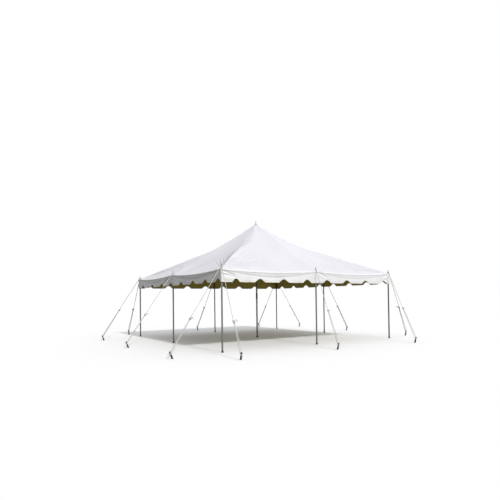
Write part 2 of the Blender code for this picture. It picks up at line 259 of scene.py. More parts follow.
class Nodes:
    """A node tree with short ways to add and link its nodes."""

    def __init__(self, tree):
        self.tree = tree
        self.places = self.add("TexCoord").outputs
        self.here = self.places["Object"]  # the point on the tent, in metres

    def add(self, kind, settings=(), **inputs):
        node = self.tree.nodes.new("ShaderNode" + kind)
        for key, value in dict(settings).items():
            setattr(node, key, value)
        for key, value in inputs.items():
            self.feed(node.inputs[key.replace("_", " ")], value)
        return node

    def feed(self, socket, value):
        if isinstance(value, bpy.types.NodeSocket):
            self.tree.links.new(value, socket)
        else:
            socket.default_value = value

    def math(self, operation, first, *more):
        """The operation on one value, or on the first with each further one in turn."""
        for value in more or (None,):
            node = self.add("Math", {"operation": operation})
            self.feed(node.inputs[0], first)
            if value is not None:
                self.feed(node.inputs[1], value)
            first = node.outputs[0]
        return first

    def times(self, *values):
        return self.math("MULTIPLY", *values)

    def plus(self, *values):
        return self.math("ADD", *values)

    def minus(self, *values):
        return self.math("SUBTRACT", *values)

    def axis(self, name):
        return self.add("SeparateXYZ", Vector=self.here).outputs[name]

    def span(self, value, low, high, start=0.0, end=1.0, kind="LINEAR"):
        """A number that runs from start to end while the value runs from low to high."""
        return self.add("MapRange", {"interpolation_type": kind}, Value=value, From_Min=low, From_Max=high,
                        To_Min=start, To_Max=end).outputs[0]

    def stretched(self, scale):
        return self.add("Mapping", Vector=self.here, Scale=scale).outputs["Vector"]

    def noise(self, scale, detail, rough=0.55, vector=None, distortion=0.0):
        return self.add("TexNoise", Vector=vector or self.here, Scale=scale, Detail=detail, Roughness=rough,
                        Distortion=distortion).outputs["Fac"]

    def grey(self, value, *stops):
        """Grey levels at places of the value's range."""
        node = self.add("ValToRGB", Fac=value)
        elements = node.color_ramp.elements
        while len(elements) < len(stops):
            elements.new(0.5)
        for element, (at, level) in zip(elements, stops):
            element.position = at
            element.color = (level, level, level, 1.0)
        return node.outputs["Color"]

    def cloud(self, scale, detail, low=0.3, high=0.75, levels=(0.0, 1.0), **more):
        """Noise as grey levels: the first level where it is low, the second where it is high."""
        return self.grey(self.noise(scale, detail, **more), (low, levels[0]), (high, levels[1]))

    def mix(self, share, a, b):
        node = self.add("Mix", {"data_type": "RGBA"})
        self.feed(node.inputs[0], share)
        self.feed(node.inputs[6], (*a, 1.0) if isinstance(a, tuple) else a)
        self.feed(node.inputs[7], (*b, 1.0) if isinstance(b, tuple) else b)
        return node.outputs[2]

    def bump(self, height, strength, distance, under=None):
        node = self.add("Bump", Strength=strength, Distance=distance, Height=height)
        if under is not None:
            self.feed(node.inputs["Normal"], under)
        return node.outputs["Normal"]


class Finish(Nodes):
    """A material and its nodes."""

    def __init__(self, name):
        self.material = bpy.data.materials.new(name)
        self.material.use_nodes = True
        super().__init__(self.material.node_tree)
        self.shader = self.tree.nodes["Principled BSDF"]

    def set(self, **inputs):
        for key, value in inputs.items():
            name = "Base Color" if key == "color" else key.replace("_", " ").title()
            self.feed(self.shader.inputs[name], value)
        return self.material


def darker(share, colour):
    return tuple(share * level for level in colour)


def weave(nodes, strength, under):
    """The fine square mesh of threads, 2.2 mm apart, that shows through coated cloth."""
    across, along = (nodes.add("TexWave", {"bands_direction": way}, Vector=nodes.here, Scale=1 / 0.0022,
                               Distortion=0.4).outputs["Fac"] for way in "XY")
    return nodes.bump(nodes.times(across, along), strength, 0.0004, under)


def pleats(nodes):
    """Height in metres of the fine creases that run out from the poles, the sharpest above the near one."""
    def spread(*numbers):
        return nodes.span(*numbers, kind="SMOOTHSTEP")

    def between(value, rise, full, fall, gone):
        return spread(value, rise, full), spread(value, fall, gone, 1.0, 0.0)

    def from_pole(across, ahead):
        """Distance and heading."""
        away = nodes.math("SQRT", nodes.plus(nodes.times(across, across), nodes.times(ahead, ahead)))
        return away, nodes.math("ARCTAN2", ahead, across)

    def waves(angle, width, phase, uneven=0.0):
        """Creases a number of degrees apart."""
        turn = nodes.plus(nodes.times(angle, 360 / width), phase)
        if uneven:
            turn = nodes.plus(turn, nodes.math("SINE", nodes.times(angle, uneven)))
        return nodes.math("SINE", turn)

    x, y = nodes.axis("X"), nodes.axis("Y")
    ax, ay = nodes.math("ABSOLUTE", x), nodes.math("ABSOLUTE", y)
    # Another phase in each corner but the near one.
    corner = nodes.plus(nodes.times(nodes.math("GREATER_THAN", x, 0.0), 2.1),
                        nodes.times(nodes.math("GREATER_THAN", y, 0.0), 3.7))
    away, angle = from_pole(nodes.minus(POLE_HALF, ax), nodes.minus(POLE_HALF, ay))
    fade = nodes.times(*between(away, 0.05, 0.9, 1.2, 2.5), 0.009)
    steep = nodes.times(waves(angle, 3.1, nodes.minus(corner, math.radians(57.6) * 360 / 3.1)),
                        *between(angle, 0.951, 0.995, 1.12, 1.18))
    wide = nodes.times(waves(angle, 4.6, corner, 17.8), *between(angle, 0.05, 0.21, 0.66, 0.75), 0.85)
    # The flank of the crest falls away from its top.
    flank = nodes.times(spread(angle, 0.82, 1.02, 0.075, 0.0), *between(away, 0.4, 1.1, 1.5, 2.6))
    height = nodes.plus(nodes.times(nodes.plus(steep, wide), fade), flank)
    # The same round a middle pole, fainter.
    inward = nodes.minus(POLE_HALF, nodes.math("MAXIMUM", ax, ay))
    away, angle = from_pole(nodes.math("MINIMUM", ax, ay), inward)
    fade = nodes.times(*between(away, 0.05, 0.45, 0.6, 1.3), spread(angle, 0.1, 0.3), 0.0035)
    return nodes.plus(height, nodes.times(waves(angle, 9.0, corner, 9.0), fade))


def vinyl(name, light, shade, dirt_and_crease_shade, creased=False, hem=None):
    """White coated cloth, satin, a little uneven in tone, with faint marks low down."""
    nodes = Finish(name)
    colour = nodes.mix(nodes.cloud(0.9, 3.0, 0.35, 0.7), light, shade)
    marks = nodes.cloud(2.2, 6.0, 0.56, 0.78, rough=0.7, vector=nodes.stretched((6.0, 6.0, 0.8)))
    low_down = nodes.span(nodes.axis("Z"), 2.6, 1.75, 0.05, 0.35)
    colour = nodes.mix(nodes.times(marks, low_down), colour, dirt_and_crease_shade)
    if hem:
        # The felled seam above the hem, grimy in parts.
        off = nodes.math("ABSOLUTE", nodes.minus(nodes.axis("Z"), hem))
        seam = nodes.grey(off, (0.0, 0.45), (0.004, 0.45), (0.007, 0.0))
        parts = nodes.cloud(3.2, 2.0, 0.44, 0.58, (0.15, 1.0))
        colour = nodes.mix(nodes.times(seam, parts), colour, darker(0.6, dirt_and_crease_shade))
    under = None
    if creased:
        height = pleats(nodes)
        # Hollows of the creases darkened towards the dirt colour: partly dirt that the creases hold, partly
        # painted shade.
        colour = nodes.mix(nodes.span(height, -0.002, -0.009, 0.0, 0.11), colour, dirt_and_crease_shade)
        under = nodes.bump(height, 1.0, 1.0)
    crumple = nodes.bump(nodes.noise(5.5, 5.0, 0.6, distortion=0.4), 0.35, 0.010, under)
    return nodes.set(color=colour, roughness=nodes.cloud(14.0, 5.0, levels=(0.36, 0.52)),
                     normal=weave(nodes, 0.25, crumple))


def lining_material():
    """The cloth's inner face, olive brown: painted shade that stands for the white cloth in the shadow of the
    roof.
    """
    nodes = Finish("shade_painted_olive_lining")
    # Painted shade: dark olive brown in place of the white cloth in shadow.
    colour = nodes.mix(nodes.cloud(1.3, 4.0), (0.62, 0.53, 0.120), (0.76, 0.58, 0.190))
    crumple = nodes.bump(nodes.noise(7.0, 5.0), 0.3, 0.006)
    return nodes.set(color=colour, roughness=nodes.cloud(16.0, 4.0, levels=(0.50, 0.66)),
                     normal=weave(nodes, 0.3, crumple))


def tape_material(name, light, shade, rib):
    """Woven tape with a row of stitches near each edge. Its first coordinate runs along it in metres."""
    nodes = Finish(name)
    split = nodes.add("SeparateXYZ", Vector=nodes.places["UV"])
    along, across = split.outputs["X"], split.outputs["Y"]
    ribs = nodes.math("SINE", nodes.times(along, math.tau / rib))
    dash = nodes.math("GREATER_THAN", nodes.math("SINE", nodes.times(along, math.tau / 0.007)), -0.3)
    off = nodes.math("ABSOLUTE", nodes.minus(nodes.math("ABSOLUTE", across), 0.72))
    row = nodes.times(nodes.math("LESS_THAN", off, 0.09), dash)
    tone = nodes.cloud(9.0, 5.0)
    colour = nodes.mix(row, nodes.mix(tone, light, shade), darker(0.8, shade))
    return nodes.set(color=colour, roughness=nodes.grey(tone, (0.0, 0.55), (1.0, 0.72)),
                     normal=nodes.bump(row, 0.5, 0.0008, nodes.bump(ribs, 0.3, 0.0005)))


def steel_material(name, dark, light, rust, rust_share, low, high, metallic, foot=None):
    """Dull zinc on steel: soft spangles, streaks along the tube, a little rust and a black foot cover."""
    nodes = Finish(name)
    spangle = nodes.add("TexVoronoi", Vector=nodes.here, Scale=95.0)
    colour = nodes.mix(nodes.grey(spangle.outputs["Color"], (0.2, 0.0), (0.8, 1.0)), dark, light)
    streak = nodes.cloud(1.0, 5.0, 0.35, rough=0.6, vector=nodes.stretched((60.0, 60.0, 3.0)))
    colour = nodes.mix(nodes.times(streak, 0.45), colour, darker(0.55, dark))
    colour = nodes.mix(nodes.cloud(38.0, 6.0, 1 - rust_share, 1.05 - rust_share, rough=0.7), colour, rust)
    rough = nodes.cloud(30.0, 5.0, levels=(low, high))
    if foot is not None:
        covered = nodes.math("LESS_THAN", nodes.axis("Z"), foot)
        colour = nodes.mix(covered, colour, (0.012, 0.012, 0.012))
        rough = nodes.mix(covered, rough, (0.6, 0.6, 0.6))
        metallic = nodes.times(nodes.minus(1.0, covered), metallic)
    normal = nodes.bump(nodes.noise(160.0, 3.0), 0.15, 0.0004)
    return nodes.set(color=colour, roughness=rough, metallic=metallic, normal=normal)


def coated_material(name, base, worn):
    """Black coating, scuffed in places."""
    nodes = Finish(name)
    colour = nodes.mix(nodes.cloud(55.0, 6.0, 0.56, 0.70, rough=0.7), base, worn)
    return nodes.set(color=colour, roughness=nodes.cloud(25.0, 4.0, levels=(0.42, 0.62)),
                     normal=nodes.bump(nodes.noise(220.0, 3.0), 0.2, 0.0004))


def rope_material(name, light, worn):
    """Laid rope: fine fibres, greyer where it has been handled."""
    nodes = Finish(name)
    handled = nodes.cloud(6.0, 5.0, 0.38, 0.72, rough=0.65)
    return nodes.set(color=nodes.mix(handled, light, worn), sheen_weight=0.25,
                     roughness=nodes.grey(handled, (0.0, 0.78), (1.0, 0.88)),
                     normal=nodes.bump(nodes.noise(900.0, 3.0), 0.45, 0.0006))


# Roof and valance are one white cloth in two copies: the roof's darker tone and the valance's lighter one are
# painted shade and painted light.
ROOF_VINYL = vinyl("roof_vinyl", (0.765, 0.750, 0.800), (0.730, 0.716, 0.770), (0.48, 0.46, 0.42),
                   creased=True)
FLAP_VINYL = vinyl("flap_vinyl", (0.905, 0.895, 0.915), (0.865, 0.855, 0.880), (0.52, 0.50, 0.45),
                   hem=VALANCE_HEM + 0.045)
SHADE_PAINTED_LINING = lining_material()
HEM_TAPE = tape_material("hem_tape", (0.84, 0.83, 0.80), (0.78, 0.76, 0.70), 0.0025)
EAVE_TAPE = tape_material("eave_tape", (0.91, 0.90, 0.92), (0.86, 0.85, 0.87), 0.0025)
# The hip seams' tape is painted greyer than the cloth: painted shade along the hips.
SEAM_TAPE = tape_material("seam_tape", (0.68, 0.67, 0.70), (0.64, 0.63, 0.66), 0.0025)
WEBBING = tape_material("webbing", (0.30, 0.27, 0.15), (0.24, 0.21, 0.10), 0.0030)
TUBE = steel_material("galvanised_tube", (0.20, 0.205, 0.185), (0.29, 0.295, 0.27),
                      (0.18, 0.12, 0.07), 0.30, 0.38, 0.56, 0.3, foot=SOCKET_HEIGHT)
# A darker copy of the tube's finish for three poles at the right and back: painted shade on the same steel.
SHADE_PAINTED_TUBE = steel_material("shade_painted_tube", (0.112, 0.115, 0.103), (0.165, 0.168, 0.153),
                           (0.12, 0.08, 0.05), 0.30, 0.38, 0.56, 0.3, foot=SOCKET_HEIGHT)
SHADE_PAINTED_POLES = ("front_right", "back_right", "back_middle")
CENTRE_TUBE = steel_material("centre_tube", (0.17, 0.17, 0.145), (0.25, 0.25, 0.22),
                             (0.14, 0.09, 0.05), 0.32, 0.38, 0.56, 0.4, foot=SOCKET_HEIGHT)
COUPLER = coated_material("black_coupler", (0.016, 0.016, 0.017), (0.07, 0.068, 0.06))
ROPE = rope_material("white_rope", (0.72, 0.705, 0.655), (0.58, 0.565, 0.51))
# Darker copies of the white rope for some ropes at the right and back: painted shade, not weathered rope.
DARK_SHADED_ROPE = rope_material("dark_shade_painted_rope", (0.115, 0.110, 0.095), (0.070, 0.067, 0.057))
HALF_SHADED_ROPE = rope_material("half_shade_painted_rope", (0.38, 0.37, 0.33), (0.27, 0.26, 0.225))
SHADE_PAINTED_ROPES = dict.fromkeys(("right_middle", "back_right_b", "back_middle", "back_left_a"), DARK_SHADED_ROPE)
SHADE_PAINTED_ROPES |= dict.fromkeys(("back_right_a", "back_left_b"), HALF_SHADED_ROPE)
STAKE_STEEL = steel_material("stake_steel", (0.024, 0.024, 0.023), (0.052, 0.050, 0.047),
                             (0.055, 0.030, 0.017), 0.40, 0.50, 0.72, 0.3)
ZINC = steel_material("zinc_ring", (0.34, 0.34, 0.33), (0.46, 0.46, 0.45), (0.25, 0.17, 0.10),
                      0.26, 0.3, 0.45, 0.85)


# The canopy's shape

def bay_swing(t):
    """0 at the poles and 1 at the middle of a bay, by the distance along a side."""
    bay = np.abs(t) / CANOPY_HALF
    return 4 * bay * (1 - bay)


def gore_height(far, bay):
    """Height of the solids' top face: how far out, and how far from the gore's middle to its hip."""
    out = far / CANOPY_HALF
    swing = 4 * bay * (1 - bay)
    eave = EAVE_HEIGHT - EAVE_DROOP * swing
    sag = RIDGE_SAG + (HIP_SAG - RIDGE_SAG) * bay + BAY_SAG * swing
    hang = np.clip(4 * out * (1 - out), 0, None) ** SAG_POWER
    return PEAK_HEIGHT + (eave - PEAK_HEIGHT) * out - sag * hang


# The crest of the near hip: distance from the corner pole, sideways shift, lift and reach of its left side.
CREST = np.array([
    (0.00, 0.000, 0.000, 0.10), (0.15, 0.000, 0.003, 0.11), (0.33, 0.003, 0.022, 0.13),
    (0.52, 0.007, 0.056, 0.15), (0.73, 0.010, 0.088, 0.17), (0.92, 0.012, 0.104, 0.18),
    (1.12, 0.015, 0.113, 0.19), (1.39, 0.020, 0.117, 0.20), (1.75, 0.028, 0.109, 0.22),
    (2.12, 0.038, 0.083, 0.24), (2.45, 0.033, 0.047, 0.25), (2.75, 0.014, 0.015, 0.22),
    (3.10, 0.000, 0.000, 0.20), (5.00, 0.000, 0.000, 0.20),
]).T
CREST_RIGHT = 0.40  # reach of its right side
CREST_SHARE = {"front_left": 1.0, "front_right": 0.50, "back_right": -0.60, "back_left": 0.55}


def crest_table(column):
    """One column of the crest at even steps, with its bends softened."""
    run = np.linspace(0, 5, 1001)
    bell = np.hanning(49)
    values = np.pad(np.interp(run, CREST[0], CREST[column]), len(bell) // 2, mode="edge")
    return run, np.convolve(values, bell / bell.sum(), "valid")


CREST_SHIFT, CREST_LIFT, CREST_LEFT = (crest_table(column) for column in (1, 2, 3))


def hip_place(x, y):
    """Distance along the nearest hip from its pole, distance aside, the crest's share and its shift."""
    share = np.zeros_like(x)
    for name, (side_x, side_y) in CORNERS.items():
        share = np.where((x * side_x >= 0) & (y * side_y >= 0), CREST_SHARE[name], share)
    run = (2 * POLE_HALF - np.abs(x) - np.abs(y)) / math.sqrt(2)
    aside = (np.abs(x) - np.abs(y)) / math.sqrt(2) * np.sign(share)
    return run, aside, share, np.interp(run, *CREST_SHIFT) * np.abs(share)


def formed_height(x, y):
    """Height of the cloth over points of the plan, before its folds."""
    ax, ay = np.maximum(np.abs(x), 1e-6), np.maximum(np.abs(y), 1e-6)
    run, aside, share, shift = hip_place(x, y)
    one = gore_height(ax, np.clip(ay / ax, 0, 1.25))
    other = gore_height(ay, np.clip(ax / ay, 0, 1.25))
    # The gores meet in a soft edge, which is softest near the peak.
    soft = 0.006 + 0.19 * window(1.8, 3.0, 3.6, 4.22, run)
    mix = np.clip(0.5 + 0.5 * (one - other) / soft, 0, 1)
    base = one + (other - one) * mix - soft * mix * (1 - mix)
    # The webbing in the hip stands proud of the cloth, which hangs away from it on both sides.
    past = aside - shift
    near_eave = 1 - np.exp(-np.clip(CANOPY_HALF - np.maximum(ax, ay), 0, None) / 0.16) + 1e-4
    left = np.exp(-(np.clip(past, 0, None) / (np.interp(run, *CREST_LEFT) * near_eave)) ** 1.5)
    right = np.exp(-np.clip(-past, 0, None) / (CREST_RIGHT * near_eave))
    return base + np.interp(run, *CREST_LIFT) * np.abs(share) * np.where(past > 0, left, right)


# Tension folds at a corner, as seen from its pin with the hip at 45 degrees: heading, rise, where it is
# highest and where it has run out, width where it starts and gain in width per metre.
CORNER_FOLDS = [
    (54.8, -0.016, 1.1, 2.4, 0.014, 0.022),
    (76.0, 0.009, 0.6, 1.4, 0.016, 0.040),
    (83.5, -0.006, 0.4, 1.1, 0.014, 0.040),
    (38.0, 0.012, 0.8, 2.0, 0.012, 0.034),
    (29.0, 0.014, 0.7, 2.0, 0.012, 0.034),
    (20.0, 0.013, 0.6, 1.8, 0.012, 0.034),
    (11.5, 0.009, 0.5, 1.6, 0.012, 0.032),
]
# The same at a middle pole, from the line to the peak.
MIDDLE_FOLDS = [
    (14.0, 0.006, 0.4, 1.3, 0.014, 0.035),
    (-17.0, 0.006, 0.4, 1.4, 0.014, 0.035),
    (38.0, 0.007, 0.35, 1.1, 0.014, 0.040),
    (-41.0, 0.007, 0.35, 1.2, 0.014, 0.040),
    (62.0, -0.005, 0.3, 0.9, 0.014, 0.040),
    (-64.0, -0.005, 0.3, 0.9, 0.014, 0.040),
]
# The narrow ridge over the webbing from a middle pole to the peak, and the hollow beside it towards the next
# corner, as the photo shows them on the left. The front shows neither. Width and gain are those on the left
# and then those on the right.
RIDGE_FOLDS = [
    (0.0, 0.036, 0.30, 2.7, 0.025, 0.055, 0.08, 0.16),
    (-36.0, -0.075, 0.50, 1.9, 0.03, 0.21, 0.12, 0.50),
]
RIDGED = ("right_middle", "back_middle", "left_middle")
PEAK_FOLDS = 20


def fold(x, y, root, heading, rise, high, end, left, left_gain, right=None, right_gain=None):
    """Rise of one fold that runs out from a pole. A negative rise is a hollow."""
    if right is None:
        right, right_gain = left, left_gain
    dx, dy = x - root[0], y - root[1]
    ahead = dx * math.cos(heading) + dy * math.sin(heading)
    aside = dy * math.cos(heading) - dx * math.sin(heading)
    reach = np.clip(ahead, 0, None)
    width = np.where(aside > 0, left + left_gain * reach, right + right_gain * reach)
    return rise * np.exp(-(aside / width) ** 2) * window(0.05, high, high, end, ahead)


def all_folds():
    """Every tension fold as the arguments of fold()."""
    draw = random.Random(7)
    folds = []
    for name, (side_x, side_y) in CORNERS.items():
        near = name == "front_left"
        for heading, rise, high, end, *widths in CORNER_FOLDS:
            change = 1.0 if near else draw.uniform(0.55, 0.9)
            angle = math.radians(heading + (0 if near else draw.uniform(-1.5, 1.5)))
            turn = math.atan2(math.sin(angle) * -side_y, math.cos(angle) * -side_x)
            folds.append((POLES[name], turn, rise * change, high, end * (1.0 if near else 0.85), *widths))
    for name, (side_x, side_y) in MIDDLES.items():
        inward = math.atan2(-side_y, -side_x)
        for heading, rise, high, end, *widths in MIDDLE_FOLDS:
            turn = inward + math.radians(heading + draw.uniform(-3, 3))
            folds.append((POLES[name], turn, rise * draw.uniform(0.7, 1.1), high, end, *widths))
        if name in RIDGED:
            folds += [(POLES[name], inward + math.radians(heading), *rest) for heading, *rest in RIDGE_FOLDS]
    for step in range(PEAK_FOLDS):
        turn = math.tau * (step + draw.uniform(0.2, 0.8)) / PEAK_FOLDS
        rise = 0.006 * draw.choice((-1, 1)) * draw.uniform(0.6, 1.2)
        folds.append(((0.0, 0.0), turn, rise, 0.30, draw.uniform(0.7, 1.4), 0.012, 0.05))
    return folds


FOLDS = all_folds()


def surface_height(x, y):
    """Height of the cloth's top face: the solids' shape with its folds, swells and gathers."""
    z = formed_height(x, y)
    far = np.maximum(np.abs(x), np.abs(y))
    edge, out = CANOPY_HALF - far, far / CANOPY_HALF
    quiet = smooth_step(0.0, 0.16, edge)
    for item in FOLDS:
        z = z + fold(x, y, *item) * (0.25 + 0.75 * quiet)
    swell = np.array([noise.noise(Vector((a * 0.75, b * 0.75, 3.1)))
                      + 0.45 * noise.noise(Vector((a * 1.9, b * 1.9, 8.4))) for a, b in zip(x, y)])
    z = z + 0.016 * swell * np.clip(4 * out * (1 - out), 0, 1)
    # Small gathers where the edge is sewn, between the poles.
    t = np.where(np.abs(x) > np.abs(y), y, x)
    gather = np.sin(t * 29.0 + 1.3 * np.sin(t * 7.0)) + 0.6 * np.sin(t * 47.0 + 2.0)
    return z + 0.0028 * bay_swing(t) * gather * np.exp(-((edge - 0.06) / 0.07) ** 2)


def canopy_points():
    """The top face's points, ring by ring from the crown's hole to the eave."""
    share = np.arange(COLUMNS) / COLUMNS
    along = -1 + 2 * (0.35 * share + 0.65 * (1 - np.cos(np.pi * share)) / 2)
    square = np.concatenate([
        np.stack([along * t[0] + n[0], along * t[1] + n[1]], axis=1) for t, n in SIDES
    ])
    circle = square / np.linalg.norm(square, axis=1)[:, None]
    step = np.arange(RINGS + 1) / RINGS
    first = CROWN_HOLE * 0.8 / CANOPY_HALF
    reach = first + (1 - first) * (0.6 * step + 0.4 * np.sin(step * np.pi / 2))
    rings = []
    for far in reach * CANOPY_HALF:
        blend = float(smooth_step(0.02, 0.16, far))
        rings.append((circle * (1 - blend) + square * blend) * far)
    rings = np.array(rings)
    # The grid's diagonals follow the crests.
    x, y = rings[..., 0], rings[..., 1]
    _, aside, share, shift = hip_place(x, y)
    move = shift * np.exp(-(aside / 0.35) ** 2) * np.sign(share) / math.sqrt(2)
    return rings + np.stack([np.sign(x) * move, -np.sign(y) * move], axis=-1)


def extra_thickness(x, y):
    """How much thicker the cloth is where it is reinforced, down to the poles' tops."""
    extra = np.zeros_like(x)
    for px, py in [*POLES.values(), (0.0, 0.0)]:
        extra = np.maximum(extra, 1 - smooth_step(0.055, 0.085, np.hypot(x - px, y - py)))
    return extra * (CLOTH - SKIN)


def make_canopy():
    rings = canopy_points()
    rows, columns = rings.shape[:2]
    x, y = rings.reshape(-1, 2).T
    z = surface_height(x, y)
    top = np.stack([x, y, z], axis=1)
    low = np.stack([x, y, z - SKIN - extra_thickness(x, y)], axis=1)
    verts, faces, indices = cloth_shape(top, low, rows, columns)
    canopy = add_mesh("canopy", verts, faces, [ROOF_VINYL, SHADE_PAINTED_LINING], "canopy", indices, sharp=60)
    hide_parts("front_roof", "right_roof", "back_roof", "left_roof", "roof_crown")
    tree = BVHTree.FromPolygons([tuple(p) for p in top], grid_faces(rows, columns, wrap=True, flip=True))
    return canopy, tree


CANOPY, CLOTH_TREE = make_canopy()


def on_cloth(x, y):
    """Height of the canopy's top face over a point."""
    hit = CLOTH_TREE.ray_cast(Vector((x, y, 2 * PEAK_HEIGHT)), -UP)[0]
    return hit.z if hit else float(formed_height(np.array([x]), np.array([y]))[0])


def cloth_normal(x, y, step=0.02):
    dx = (on_cloth(x + step, y) - on_cloth(x - step, y)) / (2 * step)
    dy = (on_cloth(x, y + step) - on_cloth(x, y - step)) / (2 * step)
    return Vector((-dx, -dy, 1)).normalized()


# The valance

def side_point(side, t, out):
    """A point of the plan on one side of the tent: t along it, out from its middle."""
    (tx, ty), (nx, ny) = SIDES[side]
    return tx * t + nx * out, ty * t + ny * out


def hem_height(side, t):
    """Height of the scalloped hem."""
    even = (np.arange(NOTCHES) + 0.5) * 2 * CANOPY_HALF / NOTCHES - CANOPY_HALF
    middles = np.array(NOTCH_PLACES.get(side, even))
    narrow = (side == 0) & (middles < -2.6)  # the front's first notch
    swing = np.clip(np.abs(t[:, None] - middles) / np.where(narrow, 0.105, NOTCH_HALF_WIDTH), 0, 1)
    rise = (0.5 + 0.5 * np.cos(np.pi * swing)) ** np.where(narrow, 0.42, 0.62)
    return VALANCE_HEM + NOTCH_HEIGHT * rise.max(axis=1)


def eave_height(t):
    return formed_height(t, np.full_like(t, CANOPY_HALF))


def flap_depth(side, t):
    """How far down from the eave the hem is."""
    return eave_height(t) - hem_height(side, t)


def lens_depth(t):
    """How far down from the eave the crease is that runs from pole to pole."""
    power = np.where(np.abs(t) / CANOPY_HALF > 0.5, 2.2, 1.3)
    return LENS_TOP + LENS_DROP * bay_swing(t) ** power


# Creases in the valance: where each starts and ends along the side and down from the eave, how far it
# stands out, and its width. The left end of a side is negative.
FLAP_CREASES = [
    (-3.00, 0.004, -2.45, 0.032, -0.006, 0.010),
    (-0.04, 0.050, -0.45, 0.098, -0.004, 0.012),
    (0.03, 0.028, 0.44, 0.170, -0.018, 0.014),
    (0.04, 0.070, 0.38, 0.215, 0.007, 0.018),
    (3.00, 0.026, 2.62, 0.080, -0.008, 0.014),
    (3.00, 0.075, 2.66, 0.180, 0.008, 0.020),
    (3.00, 0.140, 2.74, 0.240, -0.006, 0.020),
]
CORNER_FLAP_FOLDS = [
    (-3.04, 0.044, -2.54, 0.150, -0.028, 0.016),
    (-3.06, 0.118, -2.48, 0.190, -0.031, 0.017),
    (-3.02, 0.205, -2.60, 0.245, 0.006, 0.018),
]
LEFT_FLAP_FOLDS = [(0.02, 0.02, 0.86, 0.27, -0.022, 0.045), (0.30, 0.02, 1.10, 0.27, 0.012, 0.050)]


def from_first_corner(side, t):
    """Distance along a side, turned round on the right and the left so that both sides of a corner agree."""
    return -t if side in (1, 3) else t


def creases(side, t, drop):
    """How far the valance stands out at its creases."""
    total = np.zeros_like(t)
    lines = FLAP_CREASES + (LEFT_FLAP_FOLDS if side == 3 else CORNER_FLAP_FOLDS)
    for start, high, end, low, rise, width in lines:
        share = (from_first_corner(side, t) - start) / (end - start)
        line = high + (low - high) * share
        # A hollow's upper side is the broader one.
        past = (drop - line) / width / (1.0 if rise > 0 else np.where(drop < line, 1.4, 0.65))
        total = total + rise * window(0.0, 0.15, 0.55, 1.0, share) * np.exp(-past ** 2)
    return total


def flap_offset(side, t, drop):
    """How far the valance stands out of the plane of the eave, at a distance down it."""
    total = EAVE_HEIGHT - VALANCE_HEM
    lens = lens_depth(t)
    # The bay away from the side's first corner is the flatter one.
    flatter = 1 - 0.45 * smooth_step(0.0, 0.8, from_first_corner(side, t))
    lean = LENS_LEAN * bay_swing(t) ** 0.8 * flatter
    down = np.clip(drop / lens, 0, 1)
    upper = -lean * (0.40 * down + 0.60 * down ** 7)
    lower = lean * 0.9 * np.clip((drop - lens) / (total - lens), 0, 1) ** 0.45
    phase = side * 1.7
    wave = (0.008 * np.sin(t * 6.3 + phase) + 0.006 * np.sin(t * 11.7 + 2 * phase)
            + 0.003 * np.sin(t * 23.0 + 3 * phase))
    hang = wave * np.clip(drop / total, 0, 1) ** 1.5
    ends = 1 - np.exp(-((CANOPY_HALF - np.abs(t)) / 0.03) ** 2)
    return (upper + lower + hang + creases(side, t, drop)) * ends


def flap_places():
    """Distances along a side for the valance's columns."""
    return np.linspace(-CANOPY_HALF, CANOPY_HALF, FLAP_COLUMNS + 1)[:-1]


def flap_rows(side, t):
    """How far down each row of the valance lies, with a row along the crease."""
    total = flap_depth(side, t)
    lens = np.minimum(lens_depth(t), 0.7 * total)
    below = FLAP_ROWS - FLAP_ROWS_ABOVE
    rows = [lens * row / FLAP_ROWS_ABOVE for row in range(FLAP_ROWS_ABOVE)]
    return rows + [lens + (total - lens) * row / below for row in range(below + 1)]


def flap_point(side, t, drop, proud=0.0):
    """Points of the valance's outer face."""
    out = CANOPY_HALF - FLAP_INSET + flap_offset(side, t, drop) + proud
    edge = np.clip(1 - (CANOPY_HALF - np.abs(t)) / 0.02, 0, 1)
    along = t + np.sign(t) * (proud - FLAP_INSET) * edge
    x, y = side_point(side, along, out)
    return np.stack([x, y, eave_height(t) - 0.001 - drop], axis=-1)


def make_valance():
    t = flap_places()
    rows = [flap_rows(side, t) for side in range(4)]
    outer, inner = (np.concatenate([flap_point(side, t, rows[side][row], proud)
                                    for row in range(FLAP_ROWS + 1) for side in range(4)])
                    for proud in (0.0, -FLAP_SKIN))
    verts, faces, indices = cloth_shape(outer, inner, FLAP_ROWS + 1, 4 * FLAP_COLUMNS)
    valance = add_mesh("valance", verts, faces, [FLAP_VINYL, SHADE_PAINTED_LINING], "canopy", indices, sharp=70)
    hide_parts("front_valance", "right_valance", "back_valance", "left_valance")
    return valance


VALANCE = make_valance()


def swept(name, sections, material, lengths):
    """A closed band whose cross-section is given at each step round the tent."""
    count, around = len(sections), len(sections[0])
    faces = grid_faces(count, around, wrap=True)
    last = (count - 1) * around
    for i in range(around):
        after = (i + 1) % around
        faces.append((last + i, last + after, after, i))
    across = np.linspace(-1, 1, around // 2)
    uvs = [(length, v) for length in lengths for v in (*across, *across[::-1])]
    return add_mesh(name, np.array(sections).reshape(-1, 3), faces, [material], "canopy", sharp=50, uvs=uvs)


